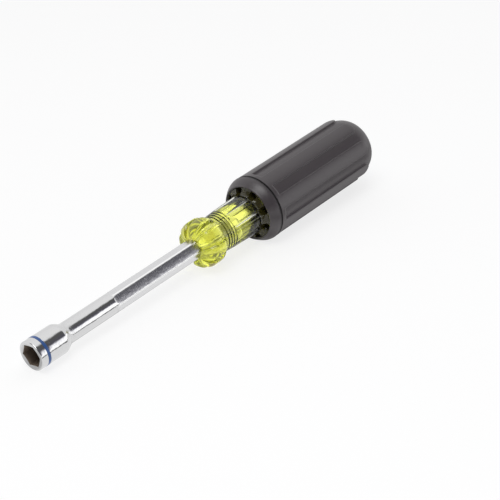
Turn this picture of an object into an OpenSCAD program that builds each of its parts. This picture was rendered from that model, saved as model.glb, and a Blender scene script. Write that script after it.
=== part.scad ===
// Hollow-shank nut driver for 3/8 inch hexagon nuts, in millimetres.
// The tool lies along +X with its origin at the centre of the socket's mouth, and +Z is up.
// Every station along the tool is a distance from that mouth.

/* [Socket] */
// Hexagon in the socket, across its flats
socket_af = 9.65; // [8.5:0.05:10.5]
// Depth of the hexagon
socket_depth = 14; // [8:0.5:16]
// Outer diameter of the socket head
socket_d = 14.2; // [13.4:0.1:16]
// Length of the straight head in front of its shoulder
head_len = 14.8; // [14.4:0.2:24]
// Length of the rounded shoulder behind the head
shoulder_len = 5.6; // [3:0.2:8]
// Diameter of the entry chamfer at the mouth
entry_d = 12.2; // [11.9:0.1:12.6]
// Depth of the entry chamfer
entry_depth = 0.3; // [0.2:0.1:0.8]
// Rounding of the mouth's outer edge
rim_round = 0.5; // [0.2:0.1:0.6]

/* [Size band] */
// Distance of the band's middle from the mouth
band_pos = 4.3; // [3:0.1:10]
// Width of the band
band_w = 1.5; // [1:0.1:3]
// Depth of the groove that holds the band
band_seat = 0.25; // [0.15:0.05:0.3]
// Height of the band above the socket
band_proud = 0.05; // [0.02:0.01:0.1]

/* [Shank] */
// Diameter of the round shank
shank_d = 10; // [9.8:0.1:10.8]
// Diameter of the bore that runs through the shank
bore_d = 6; // [4:0.1:6.6]
// Length of socket and shank in front of the handle
reach = 101.6; // [80:0.1:150]
// Hexagon on the shank, across its flats
hex_af = 9.2; // [8.9:0.05:9.5]
// Distance of the shank's flats from the mouth
hex_start = 49.4; // [35:0.2:60]
// Length of the shank's hexagon inside the handle, which keys it against turning
key_len = 24; // [10:1:60]
// Radius at which each flat runs out to the round
runout_r = 6; // [2:0.5:10]

/* [Handle core] */
// Length of the handle
handle_len = 120.6; // [114:0.2:135]
// Largest diameter of the ball in front
ball_d = 23.4; // [22:0.1:25]
// Radius of the ball's rounded sides
ball_r = 5.6; // [5:0.1:6]
// Length of the straight stretch between the ball's sides
ball_top = 3; // [1:0.1:3.4]
// Diameter of the neck just behind the ball
neck_d = 18.4; // [17.6:0.1:19]
// Diameter of the waist where the neck's cone ends
waist_d = 19.6; // [19.2:0.1:20.4]
// Diameter of the waist where it flares to the core's body
waist_rear_d = 20.4; // [20:0.1:21]
// Distance from the front of the handle to the start of the waist
waist_pos = 23; // [21.6:0.2:25]
// Length of the flare from the waist to the core's body
flare_len = 3; // [2:0.2:6]
// Distance from the grip's lip back to the core's body
body_inset = 0.6; // [0.2:0.1:2]
// Number of ring grooves in the neck
ring_count = 4; // [2:1:4]
// Distance from one ring groove to the next
ring_pitch = 1.65; // [1.2:0.05:1.8]
// Distance from the front of the handle to the first ring groove
ring_pos = 14.9; // [14.6:0.1:15.4]
// Radius of a ring groove
ring_r = 0.42; // [0.3:0.02:0.5]

/* [Flutes] */
// Number of flutes in the core and of ribs on the cushion grip
rib_count = 8; // [6:1:8]
// Radius of a flute
flute_r = 2; // [1.6:0.1:2.2]
// Depth of the flutes in the ball
ball_flute = 0.7; // [0.4:0.05:1]
// Diameter across the floors of the flutes along the waist and the core's body
floor_d = 19; // [18.6:0.1:20]

/* [Cushion grip] */
// Distance from the front of the handle to the grip's lip
grip_pos = 38.6; // [36:0.2:40]
// Diameter of the grip's front opening
mouth_d = 27; // [26.8:0.1:27.4]
// Largest diameter of the lip's front edge
lip_d = 27.8; // [27.6:0.1:28.6]
// Length of the rounded collar
collar_len = 5.6; // [4:0.2:8]
// Largest diameter of the collar
collar_d = 33; // [31.6:0.1:33.4]
// Width of the dark groove behind the collar
collar_gap = 0.7; // [0.4:0.1:1]
// Depth of that groove below the grip's body
gap_depth = 0.4; // [0.2:0.1:0.6]
// Diameter of the grip between its ribs
body_d = 30.8; // [30.2:0.1:31.4]
// Thickness of the grip between its ribs, over the core's body
grip_wall = 2.2; // [2:0.1:2.6]
// Height of the ribs
rib_h = 1; // [0.6:0.1:1.4]
// Width of a rib
rib_w = 7.2; // [5:0.2:8]
// Width of the full ring in front of the channels between the ribs
ring_w = 2.4; // [1:0.2:4]
// Distance from the butt to the end of the ribs
rib_end = 7.6; // [7:0.2:12]
// Length of the rounded dome at the butt
dome_len = 10; // [9:0.2:12]
// Rounding of the edge where the dome meets the cap
dome_lip = 0.4; // [0.2:0.1:0.5]

/* [End cap] */
// Diameter of the cap
cap_d = 19.4; // [18.6:0.1:20]
// Thickness of the cap at its edge
cap_edge = 2.6; // [2:0.1:3]
// Height of the cap's crown above its edge
cap_crown = 0.9; // [0.5:0.1:1.2]
// Rounding of the cap's edge
cap_round = 0.8; // [0.4:0.1:1]
// Diameter of the hole in the cap
hole_d = 7.6; // [6.8:0.1:9]
// Depth of the shank's end below the cap's crown
shank_recess = 7; // [6:0.5:10]
// How far the cap's crown stands out of the grip
cap_proud = 0.6; // [0.4:0.1:1.2]

/* [Hidden] */
$fn = 96;
// Steps in each curved stretch of an outline
arc_steps = 14;
// Overrun of the cuts
over = 1;
// Clearance between the cap and the grip
cap_gap = 0.05;
// Angle at which the cap's rounded edge meets its crown
crown_angle = 20;
// Two ribs straddle the lowest line, so that the tool rests on both
rest_turn = 180 / rib_count;
tool_len = reach + handle_len;
bore_r = bore_d / 2;
shank_r = shank_d / 2;
shank_end = tool_len - shank_recess;
hex_end = reach + key_len;
core_end = tool_len - cap_crown - cap_edge;
grip_front = reach + grip_pos;
grip_end = tool_len - cap_proud;
groove_at = grip_front + collar_len;
body_at = groove_at + collar_gap;
body_r = body_d / 2;
core_r = body_r - grip_wall;
rib_r = body_r + rib_h;
dome_at = grip_end - dome_len;
dome_r = cap_d / 2 + cap_gap + dome_lip;
seat_r = cap_d / 2 + cap_gap;
crown_r = cap_d / 2 - cap_round * (1 - sin(crown_angle));
// Centres of the ball's front and rear sides, and their distance from the axis
ball_front = reach + ball_r;
ball_rear = ball_front + ball_top;
ball_off = ball_d / 2 - ball_r;
// Angle on the ball's side at which the neck begins
neck_angle = asin((neck_d / 2 - ball_off) / ball_r);
neck_at = ball_rear + ball_r * cos(neck_angle);
waist_at = reach + waist_pos;
shoulder_at = grip_front + body_inset;
flare_at = shoulder_at - flare_len;
// Path of the flute cutter's centre round the ball: middle, distance from the axis and radius
bend_at = (ball_front + ball_rear) / 2;
bend_off = ball_d / 2 - (bend_at - reach);
bend_r = bend_at - reach - ball_flute + flute_r;
// Line of the flute cutter's centre behind the ball, and where the bend runs into it
floor_line = floor_d / 2 + flute_r;
turn_angle = asin((floor_line - bend_off) / bend_r);
turn_at = bend_at + bend_r * cos(turn_angle);

function arc(cx, cy, rx, ry, from, to) =
    [for (i = [0 : arc_steps])
        let (a = from + (to - from) * i / arc_steps) [cx + rx * cos(a), cy + ry * sin(a)]];

// Smooth step from 0 to 1
function ease(t) = t * t * (3 - 2 * t);

// Turns an outline of [station, radius] points into a solid round the tool's axis
module turned(points) {
    rotate([0, 90, 0])
        rotate_extrude()
            polygon([for (p = points) [p[1], p[0]]]);
}

// Cylinder along the tool from one station to another
module rod(r, from, to) {
    translate([from, 0, 0])
        rotate([0, 90, 0])
            cylinder(r = r, h = to - from);
}

// Hexagonal bar along the tool, given across its flats, with a corner in line with a rib
module hex_bar(af, from, to) {
    translate([from, 0, 0])
        rotate([rest_turn, 0, 0])
            rotate([0, 90, 0])
                cylinder(r = af / 2 / cos(30), h = to - from, $fn = 6);
}

// One copy for each rib or flute, turned round the tool's axis
module each_rib() {
    for (i = [0 : rib_count - 1])
        rotate([rest_turn + i * 360 / rib_count, 0, 0])
            children();
}

// Cutter that leaves one flat along the shank, with a curved run-out at both ends
module flat_cutter() {
    translate([hex_start, -shank_r, hex_af / 2])
        cube([hex_end - hex_start, shank_d, shank_r]);
    for (x = [hex_start, hex_end])
        translate([x, -shank_r, hex_af / 2 + runout_r])
            rotate([-90, 0, 0])
                cylinder(r = runout_r, h = shank_d);
}

// Outer form of socket, shoulder and shank, with the flats of its hexagon
module shank_form() {
    difference() {
        turned(concat(
            [[0, 0]],
            arc(rim_round, socket_d / 2 - rim_round, rim_round, rim_round, 180, 90),
            [for (i = [0 : arc_steps])
                [head_len + shoulder_len * i / arc_steps,
                 socket_d / 2 - (socket_d / 2 - shank_r) * ease(i / arc_steps)]],
            [[shank_end, shank_r], [shank_end, 0]]
        ));
        for (i = [0 : 5])
            rotate([rest_turn + 30 + i * 60, 0, 0])
                flat_cutter();
    }
}

// Hollow shank and socket in one piece
module shank() {
    color("silver")
    difference() {
        shank_form();
        hex_bar(socket_af, -over, socket_depth);
        turned([[-over, 0], [-over, entry_d / 2], [0, entry_d / 2],
                [entry_depth, socket_af / 2], [entry_depth, 0]]);
        turned([[socket_depth - over, 0], [socket_depth - over, socket_af / 2],
                [socket_depth, socket_af / 2], [socket_depth + socket_af / 2 - bore_r, bore_r],
                [shank_end + over, bore_r], [shank_end + over, 0]]);
        difference() {
            rod(socket_d, band_pos - band_w / 2, band_pos + band_w / 2);
            rod(socket_d / 2 - band_seat, band_pos - band_w, band_pos + band_w);
        }
    }
}

// Coloured band that shows the socket's size
module size_band() {
    color("royalblue")
    difference() {
        rod(socket_d / 2 + band_proud, band_pos - band_w / 2, band_pos + band_w / 2);
        rod(socket_d / 2 - band_seat, band_pos - band_w, band_pos + band_w);
    }
}

// Cutter for one flute: round the ball, then straight on over the neck to the end of the core
module flute_cutter() {
    translate([bend_at, 0, bend_off])
        rotate([90, 0, 0])
            rotate([0, 0, turn_angle])
                rotate_extrude(angle = 180 - turn_angle)
                    translate([bend_r, 0])
                        circle(r = flute_r);
    translate([turn_at, 0, floor_line])
        sphere(r = flute_r);
    translate([0, 0, floor_line])
        rod(flute_r, turn_at, core_end + over);
    translate([turn_at, -flute_r, floor_line])
        cube([core_end + over - turn_at, 2 * flute_r, core_r]);
}

// Clear plastic core: ball, ringed neck, fluted waist and the body inside the cushion grip
module handle_core() {
    color("yellowgreen", 0.6)
    difference() {
        turned(concat(
            [[reach, 0]],
            arc(ball_front, ball_off, ball_r, ball_r, 180, 90),
            arc(ball_rear, ball_off, ball_r, ball_r, 90, neck_angle),
            [[waist_at, waist_d / 2]],
            arc(flare_at, core_r, flare_len, core_r - waist_rear_d / 2, 270, 360),
            core_rear(),
            [[core_end, 0]]
        ));
        for (i = [0 : ring_count - 1])
            translate([reach + ring_pos + i * ring_pitch, 0, 0])
                rotate([0, 90, 0])
                    rotate_extrude()
                        translate([neck_r(ring_pos + i * ring_pitch), 0])
                            circle(r = ring_r);
        each_rib()
            flute_cutter();
        shank_form();
        rod(hole_d / 2, shank_end - over, core_end + over);
    }
}

// Radius of the neck's cone at a distance from the front of the handle
function neck_r(pos) =
    neck_d / 2 + (waist_d - neck_d) / 2 * (reach + pos - neck_at) / (waist_at - neck_at);

// Rounded rear edge of the core, which the grip wraps
function core_rear() = arc(core_end - (core_r - dome_r), dome_r, core_r - dome_r, core_r - dome_r, 90, 0);

// Outline of the grip's rear dome, raised by a height above it
function grip_back(raise) = arc(dome_at, dome_r, dome_len, body_r + raise - dome_r, 90, 0);

// Ribbed rubber sleeve over the core
module cushion_grip() {
    color("dimgray")
    difference() {
        union() {
            turned(concat(
                [[grip_front, 0], [grip_front, mouth_d / 2], [grip_front, lip_d / 2]],
                [for (i = [1 : arc_steps])
                    [grip_front + collar_len * i / arc_steps,
                     lip_d / 2 + (collar_d - lip_d) / 2 * sin(90 * i / arc_steps)]],
                [[groove_at, body_r - gap_depth], [body_at, body_r - gap_depth],
                 [body_at, rib_r], [body_at + ring_w, rib_r], [body_at + ring_w + rib_h, body_r]],
                grip_back(0),
                [[grip_end, 0]]
            ));
            intersection() {
                turned(concat([[body_at, 0], [body_at, rib_r]], grip_back(rib_h), [[grip_end, 0]]));
                each_rib()
                    rib_block();
            }
        }
        turned(concat(
            [[grip_front - over, 0], [grip_front - over, mouth_d / 2], [grip_front, mouth_d / 2],
             [shoulder_at, core_r]],
            core_rear(),
            [[core_end, seat_r], [grip_end - dome_lip, seat_r]],
            arc(grip_end - dome_lip, seat_r + dome_lip, dome_lip, dome_lip, 270, 360),
            [[grip_end + over, seat_r + dome_lip], [grip_end + over, 0]]
        ));
    }
}

// Block with a round rear end that bounds one rib, standing on the tool's axis
module rib_block() {
    front = body_at + ring_w / 2;
    back = tool_len - rib_end - rib_w / 2;
    linear_extrude(body_d)
        union() {
            translate([front, -rib_w / 2])
                square([back - front, rib_w]);
            translate([back, 0])
                circle(d = rib_w);
        }
}

// Domed cap that closes the butt, with a hole in line with the bore
module end_cap() {
    color("royalblue")
    difference() {
        turned(concat(
            [[core_end, 0], [core_end, cap_d / 2]],
            arc(core_end + cap_edge - cap_round, cap_d / 2 - cap_round,
                cap_round, cap_round, 90, crown_angle),
            [for (i = [1 : arc_steps])
                let (t = i / arc_steps)
                [tool_len - cap_crown * (1 - t) * (1 - t), crown_r + (hole_d / 2 - crown_r) * t]],
            [[tool_len, 0]]
        ));
        rod(hole_d / 2, core_end - over, tool_len + over);
    }
}

shank();
size_band();
handle_core();
cushion_grip();
end_cap();
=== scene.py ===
"""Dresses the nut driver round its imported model: chromed hollow shank with a blue size band,
clear yellow-green plastic core, ribbed rubber sleeve and blue butt cap.

The tool lies along +X with its origin at the centre of the socket's mouth. Outlines are worked out
in millimetres, as lists of (distance from the mouth, radius), and turned round the tool's axis.
Angles round the tool run from +Z towards -Y.
"""

import math

import bpy
import numpy as np
from mathutils import Matrix, Vector


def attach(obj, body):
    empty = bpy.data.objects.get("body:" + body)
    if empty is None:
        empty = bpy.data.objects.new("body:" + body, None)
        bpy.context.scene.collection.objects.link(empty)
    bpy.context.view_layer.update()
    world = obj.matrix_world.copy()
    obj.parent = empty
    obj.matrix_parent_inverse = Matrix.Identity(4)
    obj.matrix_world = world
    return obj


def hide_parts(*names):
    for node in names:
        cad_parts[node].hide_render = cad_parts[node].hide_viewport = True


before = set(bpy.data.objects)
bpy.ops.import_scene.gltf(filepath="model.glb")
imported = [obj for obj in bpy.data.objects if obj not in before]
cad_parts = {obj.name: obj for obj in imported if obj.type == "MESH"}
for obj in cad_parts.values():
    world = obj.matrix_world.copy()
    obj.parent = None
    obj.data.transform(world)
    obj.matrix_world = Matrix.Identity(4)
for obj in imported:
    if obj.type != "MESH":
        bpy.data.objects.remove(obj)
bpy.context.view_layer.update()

MM = 0.001

# Main sizes in millimetres, the same as in the part's source. R is a radius, and AT, FROM, TO,
# START, END and FRONT are distances from the mouth

# Socket and size band
SOCKET_R = 7.1
SOCKET_HEX = 9.65 / 2
SOCKET_DEPTH = 14.0
HEAD_LEN, SHOULDER_LEN = 14.8, 5.6
ENTRY_R, ENTRY_DEPTH = 6.1, 0.3
BAND_FROM, BAND_TO, BAND_SEAT, BAND_PROUD = 3.55, 5.05, 0.25, 0.05

# Shank with its wrench flats, which are crowned a little and run out in a curve at both ends
SHANK_R, BORE_R = 5.0, 3.0
HEX_HALF, HEX_START, HEX_END = 4.6, 49.4, 125.6
RUNOUT_R, RUNOUT_LEN, FLAT_CROWN = 6.0, 2.2, 0.08
REACH, TOOL_LEN, SHANK_END = 101.6, 222.2, 215.2

# Core: ball with round sides and a straight top, neck with ring grooves, waist, flare and body.
# The flutes are cut BALL_FLUTE deep over the ball and down to FLOOR_R behind it. The grooved stretch
# goes RING_MARGIN past the middles of the first and last ring groove
BALL_R, BALL_SIDE_R, BALL_TOP = 11.7, 5.6, 3.0
NECK_R, WAIST_R, WAIST_REAR_R = 9.2, 9.8, 10.2
WAIST_AT, FLARE_AT, SHOULDER_AT = REACH + 23.0, 137.8, 140.8
NECK_AT = REACH + BALL_SIDE_R + BALL_TOP + math.sqrt(
    BALL_SIDE_R ** 2 - (NECK_R - BALL_R + BALL_SIDE_R) ** 2)
NECK_SLOPE = (WAIST_R - NECK_R) / (WAIST_AT - NECK_AT)
RING_R, RING_AT, RING_PITCH, RING_COUNT = 0.42, REACH + 14.9, 1.65, 4
RING_MARGIN = 0.6
RING_TO = RING_AT + RING_PITCH * (RING_COUNT - 1) + RING_MARGIN
CORE_R, CORE_END, CORE_ROUND = 13.2, 218.7, 3.0
FLUTE_R, BALL_FLUTE, FLOOR_R = 2.0, 0.7, 9.5
RIBS = 8

# Sleeve: collar, groove behind it, ribbed body and dome
GRIP_FRONT, GRIP_END = 140.2, 221.6
MOUTH_R, LIP_R, COLLAR_R, COLLAR_LEN = 13.5, 13.9, 16.5, 5.6
GAP_W, GAP_DEPTH = 0.7, 0.4
GROOVE_AT = GRIP_FRONT + COLLAR_LEN
BODY_AT = GROOVE_AT + GAP_W
BODY_R, RIB_H, RIB_W = 15.4, 1.0, 7.2
RING_W, RIB_TO = 2.4, 214.6
RIB_END = RIB_TO - RIB_W / 2
DOME_LEN, SEAT_R, DOME_LIP = 10.0, 9.75, 0.4
DOME_AT, DOME_R = GRIP_END - DOME_LEN, SEAT_R + DOME_LIP
SEAM_H, SEAM_W = 0.05, 0.18

# Cap
CAP_R, CAP_EDGE, CAP_CROWN, CAP_ROUND, HOLE_R = 9.7, 2.6, 0.9, 0.8, 3.8

# A corner of the shank's hexagon, a rib and a flute all lie on this angle
FIRST_RIB = math.radians(22.5)
# Clearance that keeps touching pieces from sharing a surface
FIT = 0.03
# Facets round the shank, the sleeve, and the band and cap
SHANK_TURNS, SLEEVE_TURNS, SMALL_TURNS = 384, 480, 256

# Material slots of the shank
PLATED, BARE = 0, 1

# Share of a flute's cut side that gets a painted silver reflection, and of all the clear plastic that
# is hazy with the same layer
FLUTE_SHEEN, HAZE = 0.9, 0.015
# The ball's milky part fades out between these distances
MILKY_TO, CLEAR_FROM = 110.0, 114.0
# Main and darker tone of each blue
BAND_BLUE = ((0.045, 0.115, 0.33), (0.038, 0.098, 0.29))
CAP_BLUE = ((0.018, 0.055, 0.23), (0.014, 0.045, 0.20))

# Camera, found by fitting the photograph and turned about the tool's axis by CAMERA_ROLL. The tool's
# origin lies CAMERA_OFFSET from it: right, up and ahead, in millimetres
CAMERA_AZIMUTH, CAMERA_ELEVATION = math.radians(-49.41), math.radians(35.82)
CAMERA_ROLL = math.radians(7.36)
CAMERA_OFFSET = (-92.27, -44.82, 700.0)
CAMERA_LENS, CAMERA_SENSOR = 119.585, 36.0

# Direction from the tool to the dark side of the studio, where the photographer stands
VIEWER_SIDE = (-0.62, -0.60, 0.51)

# The tool rests on its socket's rim and two ribs, so the floor slopes 3.1 degrees to its axis. The
# floor's size is in metres
FLOOR_SLOPE = math.radians(3.1)
FLOOR_DROP = 7.12
FLOOR_SIZE = 40.0

# Softbox over the tool: its place, what it faces and its size in metres, and its power in watts
SOFTBOX_AT, SOFTBOX_FACES = (-0.10, -0.15, 1.0), (0.11, 0, 0)
SOFTBOX_SIZE, SOFTBOX_POWER = (0.7, 0.6), 5.0


# Outlines

def steps(start, end, count):
    """Evenly spaced points of a straight stretch, without the first one."""
    share = np.arange(1, count + 1)[:, None] / count
    return np.array(start) + (np.array(end) - np.array(start)) * share


def spaced(start, end, pitch):
    """Points from start to end, at most a pitch apart."""
    length = np.linalg.norm(end - start)
    return [] if length < 1e-6 else list(steps(start, end, max(1, math.ceil(length / pitch))))


def outline(corners, pitch=1.0):
    """Dense outline through corners of (x, radius, rounding); the first and last stay sharp."""
    corners = [np.array(c, float) for c in corners]
    points = [corners[0][:2]]
    for before, corner, after in zip(corners, corners[1:], corners[2:] + [None]):
        if after is None:
            points.extend(spaced(points[-1], corner[:2], pitch))
            break
        here, rounding = corner[:2], corner[2]
        back, ahead = before[:2] - here, after[:2] - here
        back_len, ahead_len = np.linalg.norm(back), np.linalg.norm(ahead)
        reach = min(rounding, back_len / 2.01, ahead_len / 2.01)
        if reach <= 0:
            points.extend(spaced(points[-1], here, pitch))
            continue
        start, end = here + back / back_len * reach, here + ahead / ahead_len * reach
        points.extend(spaced(points[-1], start, pitch))
        for t in np.linspace(0, 1, 6)[1:]:
            points.append((1 - t) ** 2 * start + 2 * t * (1 - t) * here + t * t * end)
    return np.array(points)


def arc(cx, cr, rx, rr, start, end, count):
    """Points on an elliptical arc; angles in degrees, 0 towards +X and 90 away from the axis."""
    a = np.radians(np.linspace(start, end, count + 1))
    return np.stack([cx + rx * np.cos(a), cr + rr * np.sin(a)], 1)


def normals(points):
    """Outward normals of an outline that runs towards +X."""
    along = np.gradient(points, axis=0)
    along /= np.linalg.norm(along, axis=1)[:, None]
    return np.stack([-along[:, 1], along[:, 0]], 1)


def ease(t):
    """Smooth step from 0 to 1."""
    t = np.clip(t, 0, 1)
    return t * t * (3 - 2 * t)


def above(height, blend):
    """The positive part of a height, with its edge rounded over a blend."""
    return np.maximum(height, 0) + blend / 4 * np.maximum(1 - np.abs(height) / blend, 0) ** 2


def below(first, second, blend):
    """The lower of two radii, with the edge between them rounded over a blend."""
    return second - above(second - first, blend)


def angles(turns):
    """Angles spread evenly round the tool, from the first rib on."""
    return FIRST_RIB + np.arange(turns) * 2 * math.pi / turns


def off_nearest(a, count, start=FIRST_RIB):
    """Angle from the nearest of several lines spread evenly round the tool."""
    pitch = 2 * math.pi / count
    return (a - start + pitch / 2) % pitch - pitch / 2


# Meshes

def turned(stations, radii, a):
    """Places of rings round the tool, in millimetres. Each ring has its station and its radius,
    a number or one for each angle."""
    places = np.empty((len(stations), len(a), 3))
    for ring, x, r in zip(places, stations, radii):
        ring[:, 0], ring[:, 1], ring[:, 2] = x, -r * np.sin(a), r * np.cos(a)
    return places


def skin(name, node, places, slots=None):
    """Closed skin through rings of places, which stands for a CAD node. Slots gives each ring's
    material slot."""
    rings, turns = places.shape[:2]
    k, j = np.meshgrid(np.arange(rings), np.arange(turns), indexing="ij")
    after, beside = (k + 1) % rings, (j + 1) % turns
    faces = np.stack([k * turns + j, k * turns + beside,
                      after * turns + beside, after * turns + j], -1)
    mesh = bpy.data.meshes.new(name)
    mesh.from_pydata((places * MM).reshape(-1, 3), [], faces.reshape(-1, 4))
    mesh.polygons.foreach_set("use_smooth", np.ones(rings * turns, bool))
    if slots is not None:
        mesh.polygons.foreach_set("material_index", np.repeat(slots, turns).astype(np.int32))
    piece = bpy.data.objects.new(name, mesh)
    bpy.context.scene.collection.objects.link(piece)
    mesh.validate()
    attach(piece, "root")
    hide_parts(node)
    return piece


def off_flat(a):
    """Angle from the middle of the hexagon's nearest flat."""
    return off_nearest(a, 6, FIRST_RIB + math.radians(30))


def shank_radius(x, a):
    """Outside of the round shank with its six flats, which run out in a curve at both ends."""
    overrun = max(HEX_START - x, x - HEX_END, 0)
    if overrun >= RUNOUT_R:
        return np.full_like(a, SHANK_R)
    depth = HEX_HALF + RUNOUT_R - math.sqrt(RUNOUT_R ** 2 - overrun ** 2)
    off = off_flat(a)
    flat = (depth - FLAT_CROWN * (np.tan(off) * HEX_HALF / 2) ** 2) / np.cos(off)
    corner_blend = 0.06
    return below(flat, SHANK_R, corner_blend)


def make_shank():
    """Outside from the mouth to the tube's end, then back through the bore to the socket's hexagon.
    Rings a few hundredths beside an edge keep its shading crisp."""
    a = angles(SHANK_TURNS)
    seat_r = SOCKET_R - BAND_SEAT
    seat_edge, seat_corner, rim_round = 0.04, 0.02, 0.5
    head = outline([(0, ENTRY_R + 0.03, 0), (0, ENTRY_R + 0.1, 0), (0, SOCKET_R, rim_round),
                    (BAND_FROM, SOCKET_R, seat_edge), (BAND_FROM, seat_r, seat_corner),
                    (BAND_TO, seat_r, seat_corner), (BAND_TO, SOCKET_R, seat_edge),
                    (HEAD_LEN, SOCKET_R, 0)])
    rings = [(x, r, PLATED) for x, r in head]
    for t in np.arange(1, 29) / 28:
        rings.append((HEAD_LEN + SHOULDER_LEN * t, SOCKET_R - (SOCKET_R - SHANK_R) * ease(t), PLATED))
    flats_from, flats_to = HEX_START - RUNOUT_LEN, HEX_END + RUNOUT_LEN
    end_round, bore_chamfer = 0.3, 0.2
    for start, end, count in ((HEAD_LEN + SHOULDER_LEN, flats_from, 12), (flats_from, HEX_START, 20),
                              (HEX_START, HEX_END, 36), (HEX_END, flats_to, 12),
                              (flats_to, SHANK_END - end_round, 24)):
        rings += [(x, shank_radius(x, a), PLATED) for x in np.linspace(start, end, count + 1)[1:]]
    rings += [(SHANK_END - 0.08, SHANK_R - 0.05, PLATED), (SHANK_END, SHANK_R - 0.25, PLATED),
              (SHANK_END, BORE_R + bore_chamfer, BARE), (SHANK_END - bore_chamfer, BORE_R, BARE)]

    cone_end = SOCKET_DEPTH + SOCKET_HEX - BORE_R
    rings += [(x, BORE_R, BARE) for x in np.linspace(SHANK_END - 1, cone_end, 24)]
    hexagon = SOCKET_HEX / np.cos(off_flat(a))
    to_hexagon = ENTRY_DEPTH * (ENTRY_R - hexagon) / (ENTRY_R - SOCKET_HEX)
    rings += [(SOCKET_DEPTH, SOCKET_HEX, BARE), (SOCKET_DEPTH, hexagon - 0.05, BARE),
              (SOCKET_DEPTH - 0.1, hexagon, BARE)]
    for t in np.linspace(0, 1, 8)[:-1]:
        rings.append((SOCKET_DEPTH - 1 + t * (to_hexagon + 0.06 - SOCKET_DEPTH + 1), hexagon, BARE))
    rings.append((to_hexagon + 0.04, hexagon, BARE))
    for share in (0.03, 0.1, 0.9, 0.97):
        rings.append((to_hexagon * (1 - share), hexagon + (ENTRY_R - hexagon) * share, PLATED))
    stations, radii, slots = zip(*rings)
    return skin("shank_tube", "shank", turned(stations, radii, a), slots)


def make_band():
    """Band that fills its seat in the head and stands a little proud of it."""
    front, rear = BAND_FROM + 0.01, BAND_TO - 0.01
    seat_r, proud_r = SOCKET_R - BAND_SEAT + FIT, SOCKET_R + BAND_PROUD
    line = outline([(BAND_FROM + 0.3, seat_r, 0), (front, seat_r, 0.02), (front, proud_r, 0.05),
                    (rear, proud_r, 0.05), (rear, seat_r, 0.02), (BAND_FROM + 0.6, seat_r, 0)],
                   pitch=0.3)
    return skin("size_ring", "size_band", turned(*line.T, angles(SMALL_TURNS)))


def core_angles():
    """Angles round the core, close together in and beside its flutes."""
    edge, pitch = math.radians(11), 2 * math.pi / RIBS
    sector = np.concatenate([np.linspace(-edge, edge, 72, endpoint=False),
                             np.linspace(edge, pitch - edge, 20, endpoint=False)])
    return FIRST_RIB + (sector + pitch * np.arange(RIBS)[:, None]).ravel()


def fluted(stations, radii, a):
    """Places of the core's rings, lowered into its flutes: a bend round the ball's middle, then a
    straight cut whose floor keeps its distance from the axis. The cut's edges are soft on the ball
    and sharp behind it."""
    sharp, fade_len = 0.1, 3
    off = off_nearest(a, RIBS)
    base = a - off
    x = stations[:, None] + 0 * radii
    height, side = radii * np.cos(off), radii * np.sin(off)
    bend_x = REACH + BALL_SIDE_R + BALL_TOP / 2
    bend_height = BALL_R - (bend_x - REACH)
    bend_r = bend_x - REACH - BALL_FLUTE + FLUTE_R
    line = FLOOR_R + FLUTE_R
    straight_from = bend_x + math.sqrt(bend_r ** 2 - (line - bend_height) ** 2)
    reach = np.sqrt(np.maximum(FLUTE_R ** 2 - side ** 2, 0))
    from_bend = np.hypot(x - bend_x, height - bend_height)
    depth = np.where(x < straight_from, from_bend - bend_r, height - line) + reach
    blend = sharp + ease((straight_from - x) / fade_len)
    depth = np.where(np.abs(side) < FLUTE_R, above(depth, blend), 0)
    share = np.where(x < straight_from, depth / from_bend, 0)
    x = x - (x - bend_x) * share
    height = height - np.where(x < straight_from, (height - bend_height) * share, depth)
    y = -(height * np.sin(base) + side * np.cos(base))
    z = height * np.cos(base) - side * np.sin(base)
    return np.stack([x, y, z], -1)


def neck_radius(x):
    """Radius of the neck between its ring grooves; x may be a number, an array or a socket."""
    return (x - NECK_AT) * NECK_SLOPE + NECK_R


def core_outline():
    """Outline of the core from the shank round the ball to its rear face, before its flutes."""
    front, rear = REACH + BALL_SIDE_R, REACH + BALL_SIDE_R + BALL_TOP
    centre_r = BALL_R - BALL_SIDE_R
    neck_angle = math.degrees(math.asin((NECK_R - centre_r) / BALL_SIDE_R))
    fine_pitch = 0.06
    ring_x = np.arange(NECK_AT + 0.1, RING_TO, fine_pitch)
    body_r = CORE_R - FIT
    line = np.concatenate([
        steps((REACH, SHANK_R + FIT + 0.1), (REACH, centre_r), 6),
        arc(front, centre_r, BALL_SIDE_R, BALL_SIDE_R, 180, 90, 36)[1:],
        steps((front, BALL_R), (rear, BALL_R), 8),
        arc(rear, centre_r, BALL_SIDE_R, BALL_SIDE_R, 90, neck_angle, 24)[1:],
        np.stack([ring_x, neck_radius(ring_x)], 1),
        steps((RING_TO, neck_radius(RING_TO)), (WAIST_AT, WAIST_R), 6),
        steps((WAIST_AT, WAIST_R), (FLARE_AT, WAIST_REAR_R), 18),
        arc(FLARE_AT, body_r, SHOULDER_AT - FLARE_AT, body_r - WAIST_REAR_R, 270, 358, 30)[1:],
        steps((SHOULDER_AT + 0.1, body_r), (CORE_END - CORE_ROUND, body_r), 24),
        arc(CORE_END - CORE_ROUND, DOME_R, CORE_ROUND, body_r - DOME_R, 90, 2, 12)])
    for k in range(RING_COUNT):
        middle = RING_AT + k * RING_PITCH
        cut = RING_R ** 2 - (line[:, 0] - middle) ** 2
        floor = neck_radius(middle) - np.sqrt(np.maximum(cut, 0))
        line[:, 1] = np.where(cut > 0, np.minimum(line[:, 1], floor), line[:, 1])
    return line


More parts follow.
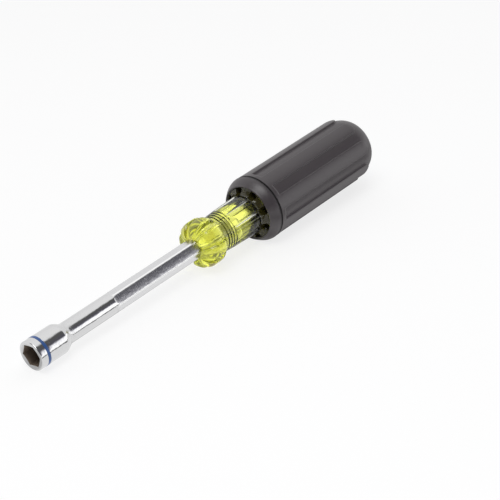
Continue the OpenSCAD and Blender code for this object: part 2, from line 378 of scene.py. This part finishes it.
def make_core():
    """Fluted outside, then the bore, which follows the shank's flats from the rear to the ball."""
    a = core_angles()
    line = core_outline()
    outside = fluted(line[:, 0], line[:, 1:] + 0 * a, a)
    seat = SHANK_END + FIT
    inner = [(CORE_END, HOLE_R + 0.2), (CORE_END - 0.2, HOLE_R), (seat, HOLE_R + 0.02),
             (seat, SHANK_R + FIT)]
    flats_to = HEX_END + RUNOUT_LEN
    for start, end, count in ((SHANK_END - 1, flats_to + 0.1, 20), (flats_to, HEX_END, 12),
                              (HEX_END - 0.5, REACH + 0.5, 24)):
        inner += [(x, shank_radius(x, a) + FIT) for x in np.linspace(start, end, count + 1)]
    inner.append((REACH + 0.12, shank_radius(REACH, a) + FIT))
    return skin("core_plastic", "handle_core", np.concatenate([outside, turned(*zip(*inner), a)]))


def sleeve_outline():
    """Outside of the sleeve from its lip over the collar, the groove and the ring that the ribs
    stand on to the end of the dome, before its ribs."""
    front = outline([(GRIP_FRONT + 0.3, MOUTH_R, 0), (GRIP_FRONT, MOUTH_R, 0.12),
                     (GRIP_FRONT, LIP_R, 0.2), (GRIP_FRONT + 0.35, LIP_R + 0.3, 0)], pitch=0.2)
    t = np.linspace(0.08, 0.97, 26)
    collar = np.stack([GRIP_FRONT + COLLAR_LEN * t,
                       LIP_R + (COLLAR_R - LIP_R) * np.sin(t * math.pi / 2)], 1)
    floor_r, rib_r = BODY_R - GAP_DEPTH, BODY_R + RIB_H
    ring_to = BODY_AT + RING_W
    back = outline([(*collar[-1], 0), (GROOVE_AT, COLLAR_R - 0.02, 0.4), (GROOVE_AT, floor_r, 0.12),
                    (BODY_AT, floor_r, 0.12), (BODY_AT, rib_r, 0.25), (ring_to, rib_r, 0.5),
                    (ring_to + RIB_H, BODY_R, 0.5), (ring_to + 2, BODY_R, 0)], pitch=0.2)
    # Points lie closer together where the ribs' round ends are
    body_pitch, end_pitch = 1.5, 0.12
    body = np.concatenate([np.arange(ring_to + 3, RIB_END - 1, body_pitch),
                           np.arange(RIB_END - 0.4, DOME_AT, end_pitch)])
    return np.concatenate([front, collar, back[1:], np.stack([body, np.full_like(body, BODY_R)], 1),
                           arc(DOME_AT, DOME_R, DOME_LEN, BODY_R - DOME_R, 90, 2, 70)])


def rib_heights(x, r, a):
    """Height of the ribs and of the two moulding seams over the sleeve's outline, given as columns.
    The ribs run out over the dome in round ends, and the seams show on the dome alone."""
    narrowing_r, dome_loss, flank_start, flank_w = 12, 0.9, 0.1, 0.55
    past_end = np.maximum(x - RIB_END, 0)
    aside = np.maximum(r, narrowing_r) * off_nearest(a, RIBS)
    inside = RIB_W / 2 - np.hypot(past_end, aside)
    on_dome = RIB_H * (1 - ease((x - DOME_AT) / DOME_LEN) * dome_loss)
    height = np.where(x > DOME_AT, on_dome, BODY_R + RIB_H - r)
    flank = ease((inside + flank_start) / flank_w)
    height = np.where(x > BODY_AT + RING_W / 2, height, 0) * flank
    from_seam = off_nearest(a, 2, math.pi / 2) * r
    return height + SEAM_H * np.exp(-(from_seam / SEAM_W) ** 2) * ease((x - DOME_AT) / 2)


def make_sleeve():
    """Ribbed outside, then the lip round the cap and the inside back to the mouth."""
    a = angles(SLEEVE_TURNS)
    line = sleeve_outline()
    x, r = line[:, :1], line[:, 1:]
    raised = rib_heights(x, r, a)
    outward = np.where(x > DOME_AT, normals(line), (0, 1))
    outside = turned(x + outward[:, :1] * raised, r + outward[:, 1:] * raised, a)
    rear = CORE_R - DOME_R
    lip = arc(GRIP_END - DOME_LIP, DOME_R, DOME_LIP, DOME_LIP, 0, -90, 6)
    inner = np.concatenate([
        lip, steps(lip[-1], (CORE_END, SEAT_R), 4), [(CORE_END, DOME_R)],
        arc(CORE_END - rear, DOME_R, rear, rear, 0, 90, 8),
        steps((CORE_END - rear, CORE_R), (SHOULDER_AT, CORE_R), 30),
        steps((SHOULDER_AT, CORE_R), (GRIP_FRONT + 0.5, MOUTH_R), 6)])
    return skin("grip_sleeve", "cushion_grip", np.concatenate([outside, turned(*inner.T, a)]))


def make_cap():
    """Rounded edge, domed face and hole."""
    edge_angle = 20
    face_r = CAP_R - CAP_ROUND * (1 - math.sin(math.radians(edge_angle)))
    edge = arc(CORE_END + CAP_EDGE - CAP_ROUND, CAP_R - CAP_ROUND, CAP_ROUND, CAP_ROUND,
               90, edge_angle, 14)
    t = np.linspace(0, 1, 30)[1:-1]
    face = np.stack([TOOL_LEN - CAP_CROWN * (1 - t) ** 2, face_r + (HOLE_R - face_r) * t], 1)
    base = CORE_END + FIT
    hole = outline([(*face[-1], 0), (TOOL_LEN, HOLE_R, 0.25), (base, HOLE_R, 0.1),
                    (base, CAP_R, 0.15), (CORE_END + 0.6, CAP_R, 0)], pitch=0.4)
    line = np.concatenate([edge, face, hole[1:]])
    return skin("butt_cap", "end_cap", turned(*line.T, angles(SMALL_TURNS)))


# Shaders

class Value:
    """A socket in a node tree. An expression on it adds its Math nodes."""

    def __init__(self, tree, socket):
        self.tree, self.socket = tree, socket

    def math(self, operation, *others):
        """A Math node on this value and any others."""
        return self.tree.node("Math", (self, *others), operation=operation)

    def __add__(self, other):
        return self.math("ADD", other)

    def __sub__(self, other):
        return self.math("SUBTRACT", other)

    def __rsub__(self, other):
        return self.tree.node("Math", (other, self), operation="SUBTRACT")

    def __mul__(self, other):
        return self.math("MULTIPLY", other)

    def __truediv__(self, other):
        return self.math("DIVIDE", other)

    def __pow__(self, other):
        return self.math("POWER", other)

    __radd__, __rmul__ = __add__, __mul__

    def rise(self, start, end):
        """0 below start and 1 above end, smooth in between; start may be the higher one."""
        return self.tree.node("MapRange", (self, start, end), interpolation_type="SMOOTHSTEP")

    def between(self, start, full_from, full_to, end):
        """1 between the two middle values, and 0 below start and above end."""
        return self.rise(start, full_from) * self.rise(end, full_to)


class Tree:
    """A material's or world's node tree, built from its output back."""

    def __init__(self, owner):
        owner.use_nodes = True
        self.nodes, self.links = owner.node_tree.nodes, owner.node_tree.links
        self.nodes.clear()

    def node(self, kind, inputs=(), out=0, **settings):
        """One node: its settings first, then the values or links of its sockets. A colour has three
        parts, and gets its alpha here."""
        node = self.nodes.new("ShaderNode" + kind)
        for name, value in settings.items():
            setattr(node, name, value)
        for key, value in inputs.items() if isinstance(inputs, dict) else enumerate(inputs):
            socket = node.inputs[key]
            if isinstance(value, Value):
                self.links.new(value.socket, socket)
            elif isinstance(value, tuple) and len(value) == 3 and len(socket.default_value) == 4:
                socket.default_value = (*value, 1)
            else:
                socket.default_value = value
        return Value(self, node.outputs[out])

    def outputs(self, first, *names):
        """Several outputs of the node that a value comes from."""
        return [Value(self, first.socket.node.outputs[name]) for name in names]

    def place(self):
        """The place on the piece, in metres."""
        return self.node("TexCoord", out="Object")

    def split(self, vector):
        """The three parts of a vector."""
        return self.outputs(self.node("SeparateXYZ", (vector,)), "X", "Y", "Z")

    def millimetres(self):
        """The place on the piece as three numbers, in millimetres."""
        return self.split(self.node("VectorMath", {"Vector": self.place(), "Scale": 1 / MM},
                                    operation="SCALE"))

    def rays(self, *kinds):
        """For each kind of ray, a value that is 1 for such rays and 0 for others."""
        return self.outputs(self.node("LightPath"), *("Is %s Ray" % kind for kind in kinds))

    def mix(self, share, first, second):
        """Colours mixed by a share."""
        return self.node("Mix", {0: share, 6: first, 7: second}, out=2, data_type="RGBA")

    def noise(self, scale, detail=2.0, stretch=(1, 1, 1), roughness=0.5):
        """Noise from 0 to 1; scale is the number of its cells in a millimetre."""
        scaled = self.node("VectorMath", (self.place(), tuple(scale * s / MM for s in stretch)),
                           operation="MULTIPLY")
        return self.node("TexNoise", {"Vector": scaled, "Scale": 1.0, "Detail": detail,
                                      "Roughness": roughness})

    def bump(self, height, depth, normal=None):
        """Normal for a height of 0 to 1 that stands for a depth in millimetres."""
        inputs = {"Height": height, "Strength": 1.0, "Distance": depth * MM}
        if normal is not None:
            inputs["Normal"] = normal
        return self.node("Bump", inputs)

    def finish(self, shader, volume=None, kind="OutputMaterial"):
        """Links the last shader, and a volume if there is one, to the output."""
        output = self.nodes.new("ShaderNode" + kind)
        self.links.new(shader.socket, output.inputs["Surface"])
        if volume is not None:
            self.links.new(volume.socket, output.inputs["Volume"])


def material(name):
    """A new material and its node tree."""
    made = bpy.data.materials.new(name)
    return made, Tree(made)


def distance_off(y, z):
    """Distance from the tool's axis."""
    return (y * y + z * z) ** 0.5


def angle_round(y, z):
    """Angle round the tool's axis, in degrees from +Z towards -Y."""
    return (y * -1).math("ARCTAN2", z) * (180 / math.pi)


def chrome():
    """Bright plating on drawn tube: mirror on the rounds, ground and mottled on the flats, with a
    painted highlight in a brighter tint on their corners.
    """
    made, t = material("bright_plating")
    x, y, z = t.millimetres()
    off_axis = distance_off(y, z)
    in_hex = x.rise(HEX_START - 2, HEX_START - 0.6)
    round_off, flat_off = SHANK_R - 0.015, SHANK_R - 0.045
    on_flat = off_axis.rise(round_off, flat_off) * in_hex
    on_corner = off_axis.rise(flat_off, round_off) * in_hex
    on_neck = x.between(HEAD_LEN + 2, HEAD_LEN + 3.5, HEAD_LEN + 6, HEAD_LEN + 8)
    in_handle = x.rise(REACH - 0.2, REACH + 0.2)
    grain = t.noise(0.45, 2.0, (0.7, 1, 1))
    drift = t.noise(0.06, 2.0)
    specks = t.noise(1.1, 3.0).rise(0.6, 0.7)
    rough = 0.07 + drift * 0.05 + specks * 0.16 + on_flat * (0.10 + grain * 0.08)
    rough = rough + on_corner * 0.06 + in_handle * 0.08 + on_neck * 0.14
    tint = t.mix(drift, (0.735, 0.735, 0.74), (0.695, 0.695, 0.70))
    tint = t.mix(in_handle, tint, (0.95, 0.95, 0.93))
    # The flats' rounded corners get a brighter tint, a painted highlight along their edges
    tint = t.mix(on_flat, t.mix(on_corner, tint, (0.95, 0.95, 0.95)), (0.74, 0.74, 0.75))
    wavy = t.bump(t.noise(0.25, 1.0, (0.6, 1, 1)), 0.04)
    pitted = t.bump(t.noise(0.7, 2.0, (0.6, 1, 1)), 0.045, wavy)
    mottled = t.bump(grain * on_flat, 0.055, pitted)
    t.finish(t.node("BsdfPrincipled", {"Base Color": tint, "Metallic": 1.0,
                                       "Roughness": rough, "Normal": mottled}))
    return made


def bore_steel():
    """Unplated inside of the socket and tube, dark from its heat treatment."""
    made, t = material("bore_steel")
    patches = t.noise(0.5, 4.0)
    t.finish(t.node("BsdfPrincipled", {
        "Base Color": t.mix(patches, (0.20, 0.155, 0.12), (0.30, 0.24, 0.19)),
        "Metallic": 0.35, "Roughness": 0.45 + patches * 0.2,
        "Normal": t.bump(t.noise(3.0, 3.0), 0.02)}))
    return made


def blue_gloss(name, colour, darker):
    """Glossy blue plastic with a faint orange peel."""
    made, t = material(name)
    t.finish(t.node("BsdfPrincipled", {
        "Base Color": t.mix(t.noise(0.25, 3.0), colour, darker),
        "Roughness": 0.24 + t.noise(1.5, 2.0) * 0.12, "Specular IOR Level": 0.35,
        "Coat Weight": 0.15, "Coat Roughness": 0.06, "Normal": t.bump(t.noise(1.2, 2.0), 0.004)}))
    return made


def waist_radius(x):
    """Radius of the waist and the flare behind it as they are before the flutes are cut."""
    past_flare = x - FLARE_AT
    before = past_flare.math("MINIMUM", 0) * ((WAIST_REAR_R - WAIST_R) / (FLARE_AT - WAIST_AT))
    into_flare = (past_flare / (SHOULDER_AT - FLARE_AT)).math("MAXIMUM", 0)
    hollow = (1 - into_flare ** 2).math("MAXIMUM", 0) ** 0.5
    return hollow * (WAIST_REAR_R - CORE_R) + CORE_R + before


def clear_plastic():
    """Clear yellow-green plastic that deepens with its thickness. The ball is a little milky and has
    painted dark lines of shade along its flutes, the ring grooves have painted shade inside, one side
    of each flute in the waist carries a painted silver reflection, and what lies in the sleeve has
    painted shade."""
    made, t = material("clear_yellow_plastic")
    x, y, z = t.millimetres()
    off_axis = distance_off(y, z)
    half_pitch = 180 / RIBS
    off_flute = (angle_round(y, z) - math.degrees(FIRST_RIB)).math("WRAP", half_pitch, -half_pitch)

    ripple = t.bump(t.noise(0.14, 2.0, (0.5, 1, 1)), 0.02)
    clear = t.node("BsdfPrincipled", {
        "Base Color": (1.0, 1.0, 0.88), "Roughness": 0.03, "IOR": 1.48,
        "Transmission Weight": 1.0, "Normal": ripple})
    cloud = t.noise(0.09, 2.0).rise(0.48, 0.62)
    milky = t.node("BsdfPrincipled", {
        "Base Color": t.mix(cloud, (0.97, 1.0, 0.13), (1.0, 0.86, 0.09)),
        "Roughness": 0.3, "IOR": 1.48})
    body = t.node("MixShader", (x.rise(CLEAR_FROM, MILKY_TO) * 0.28, clear, milky))

    # Painted shade: the ring grooves are darkened inside, and dark lines are painted along one side
    # of the ball's flutes
    in_rings = x.between(RING_AT - RING_MARGIN, RING_AT - 0.5, RING_TO, RING_TO + 0.05)
    painted_ring_shade = (neck_radius(x) - off_axis).rise(0.2, 0.36) * in_rings
    on_ball = x.between(REACH + 2, REACH + 6, NECK_AT - 2, NECK_AT)
    painted_flute_lines = off_flute.between(-7.2, -6.2, -2.5, -1.5) * t.noise(0.5, 2.0).rise(0.3, 0.45) * on_ball
    painted_shade = t.node("BsdfDiffuse", {"Color": (0.045, 0.048, 0.008)})
    body = t.node("MixShader", ((painted_ring_shade * 0.35).math("MAXIMUM", painted_flute_lines * 0.6), body, painted_shade))

    # The flutes' metallic sides in the waist are a painted silver reflection, and the dark layer
    # behind the flare is painted shade; a faint share of the same layer covers all the plastic as
    # haze
    deep = x.rise(FLARE_AT, FLARE_AT + 1)
    in_waist = x.between(RING_TO, RING_TO + 1, FLARE_AT, FLARE_AT + 1.5)
    on_side = (waist_radius(x) - off_axis).rise(0.06, 0.2) * off_flute.rise(-0.6, -2.2)
    painted_sheen_shade_and_haze = (on_side * in_waist * FLUTE_SHEEN).math("MAXIMUM", deep * 0.6) * (1 - HAZE) + HAZE
    cut = t.node("BsdfPrincipled", {
        "Base Color": t.mix(deep, (0.92, 0.93, 0.86), (0.06, 0.052, 0.014)),
        "Metallic": 1 - deep, "Roughness": 0.22, "Normal": ripple})
    t.finish(t.node("MixShader", (painted_sheen_shade_and_haze, body, cut)),
             t.node("VolumeAbsorption", {"Color": (0.92, 0.94, 0.0), "Density": 135.0}))
    return made


def sleeve_rubber():
    """Matt moulded rubber, a little warm, with fine grain and faint rub marks, and painted shade in
    the groove behind the collar."""
    made, t = material("moulded_rubber")
    x = t.millimetres()[0]
    # Painted shade: the groove behind the collar is darkened and roughened
    painted_groove_shade = x.between(GROOVE_AT - 1.3, GROOVE_AT, BODY_AT + 0.1, BODY_AT + 0.5)
    cloud = t.noise(0.05, 3.0)
    grain = t.noise(2.6, 3.0, roughness=0.6)
    colour = t.mix(cloud * 0.7 + grain * 0.3, (0.0455, 0.0365, 0.041), (0.065, 0.054, 0.059))
    colour = t.mix(painted_groove_shade * 0.8, colour, (0.008, 0.006, 0.007))
    t.finish(t.node("BsdfPrincipled", {
        "Base Color": colour, "Roughness": 0.31 + cloud * 0.08 + grain * 0.08 + painted_groove_shade * 0.4,
        "Normal": t.bump(grain, 0.02, t.bump(t.noise(0.35, 2.0), 0.02)),
        "Specular IOR Level": 0.72}))
    return made


# Surroundings

def make_floor():
    """A pale floor that slopes with the tool's rest. Metal and plastic see it with painted light in
    front, painted shadow where the tool stands and beside its grip, and a painted dark band along the
    edge that the photographer's shadow leaves."""
    half = FLOOR_SIZE / 2
    floor_mesh = bpy.data.meshes.new("floor")
    floor_mesh.from_pydata([(-half, -half, 0), (half, -half, 0), (half, half, 0), (-half, half, 0)],
                           [], [(0, 1, 2, 3)])
    floor = bpy.data.objects.new("floor", floor_mesh)
    bpy.context.scene.collection.objects.link(floor)
    slope = Matrix.Rotation(FLOOR_SLOPE, 4, "Y")
    floor.matrix_world = Matrix.Translation((0, 0, -FLOOR_DROP * MM)) @ slope

    made, t = material("pale_floor")
    cloth = t.mix(t.noise(0.004, 2.0), (0.24, 0.24, 0.243), (0.25, 0.25, 0.25))
    lit = t.node("BsdfDiffuse", {"Color": cloth})
    glow = t.node("Emission", {"Color": (1.0, 1.0, 1.0), "Strength": 0.78})
    x, y, _ = t.millimetres()
    # What metal and plastic see: a painted pool of light in front, a painted dark band, and painted
    # shadow under the tool and beside its grip
    painted_light_in_front = y.rise(-70, -120)
    painted_shadow_edge = y.between(-74, -66, -43, -38)
    painted_tool_shadow = y.between(-5, 1, 6, 15)
    painted_grip_shadow = y.between(-20, -13, -7, 0) * x.rise(125, 140)
    level = 0.92 + painted_light_in_front * 0.5 - painted_shadow_edge * 0.8 - (painted_tool_shadow * 0.4 + painted_grip_shadow * 0.5)
    mirrored, through = t.rays("Glossy", "Transmission")
    t.finish(t.node("MixShader", (mirrored.math("MAXIMUM", through),
                                  t.node("AddShader", (lit, glow)),
                                  t.node("Emission", {"Color": level, "Strength": 1.0}))))
    floor_mesh.materials.append(made)


def make_world():
    """A pale studio, darker where the photographer stands and with a bright strip beside that. What
    shows through the clear plastic is paler still, but dim straight towards the photographer."""
    world = bpy.data.worlds.new("studio")
    bpy.context.scene.world = world
    t = Tree(world)
    direction = t.node("TexCoord", out="Generated")
    x, y, z = t.split(direction)
    toward = t.node("VectorMath", (direction, VIEWER_SIDE), out=1, operation="DOT_PRODUCT")
    angle = angle_round(y, z)
    bright = angle.between(62, 70, 92, 102)
    viewer_band = angle.between(8, 24, 56, 73)
    dark = (viewer_band * x.rise(0.9, 0.75)).math(
        "MAXIMUM", toward.rise(0.15, 0.42) * x.rise(0.56, 0.42))
    camera, through = t.rays("Camera", "Transmission")
    level = 0.88 + z.rise(0.1, 0.95) * 0.10 + bright * 0.65
    level = level * (1 - dark) + dark * 0.11
    inward = (0.95 + viewer_band * 0.5) * toward.rise(0.92, 0.72) + 0.2
    level = level * (1 - through) + through * inward
    level = level * (1 - camera) + camera
    tint = t.mix(dark * angle.rise(30, 52) * (1 - camera), (1.0, 1.0, 1.0), (0.94, 0.93, 1.09))
    colour = t.node("VectorMath", {"Vector": tint, "Scale": level}, operation="SCALE")
    t.finish(t.node("Background", {"Color": colour, "Strength": 1.0}), kind="OutputWorld")


def make_softbox():
    """Soft rectangular lamp over the tool."""
    data = bpy.data.lights.new("key_softbox", "AREA")
    data.shape = "RECTANGLE"
    data.size, data.size_y = SOFTBOX_SIZE
    data.energy = SOFTBOX_POWER
    softbox = bpy.data.objects.new("key_softbox", data)
    bpy.context.scene.collection.objects.link(softbox)
    softbox.location = SOFTBOX_AT
    facing = Vector(SOFTBOX_FACES) - Vector(SOFTBOX_AT)
    softbox.rotation_euler = facing.to_track_quat("-Z", "Y").to_euler()


def make_camera():
    """Camera at the photograph's viewing angle."""
    a, e = CAMERA_AZIMUTH, CAMERA_ELEVATION
    right = Vector((math.cos(a), math.sin(a), 0))
    back = Vector((math.sin(a) * math.cos(e), -math.cos(a) * math.cos(e), math.sin(e)))
    up = back.cross(right)
    rightward, upward, ahead = CAMERA_OFFSET
    pose = Matrix((right, up, back)).transposed().to_4x4()
    pose.translation = (right * -rightward + up * -upward + back * ahead) * MM
    data = bpy.data.cameras.new("camera")
    data.lens, data.sensor_width = CAMERA_LENS, CAMERA_SENSOR
    data.clip_start, data.clip_end = 0.01, 50
    camera = bpy.data.objects.new("camera", data)
    bpy.context.scene.collection.objects.link(camera)
    camera.matrix_world = Matrix.Rotation(CAMERA_ROLL, 4, "X") @ pose
    bpy.context.scene.camera = camera


# The tool

make_camera()
for piece, slot, finishes in (
        (make_shank(), "plated_steel", (chrome(), bore_steel())),
        (make_band(), "blue_band", (blue_gloss("band_blue", *BAND_BLUE),)),
        (make_core(), "clear_acetate", (clear_plastic(),)),
        (make_sleeve(), "black_rubber", (sleeve_rubber(),)),
        (make_cap(), "blue_plastic", (blue_gloss("cap_blue", *CAP_BLUE),))):
    for made in finishes:
        piece.data.materials.append(made)

make_floor()
make_world()
make_softbox()

bpy.context.scene.view_settings.view_transform = "Standard"
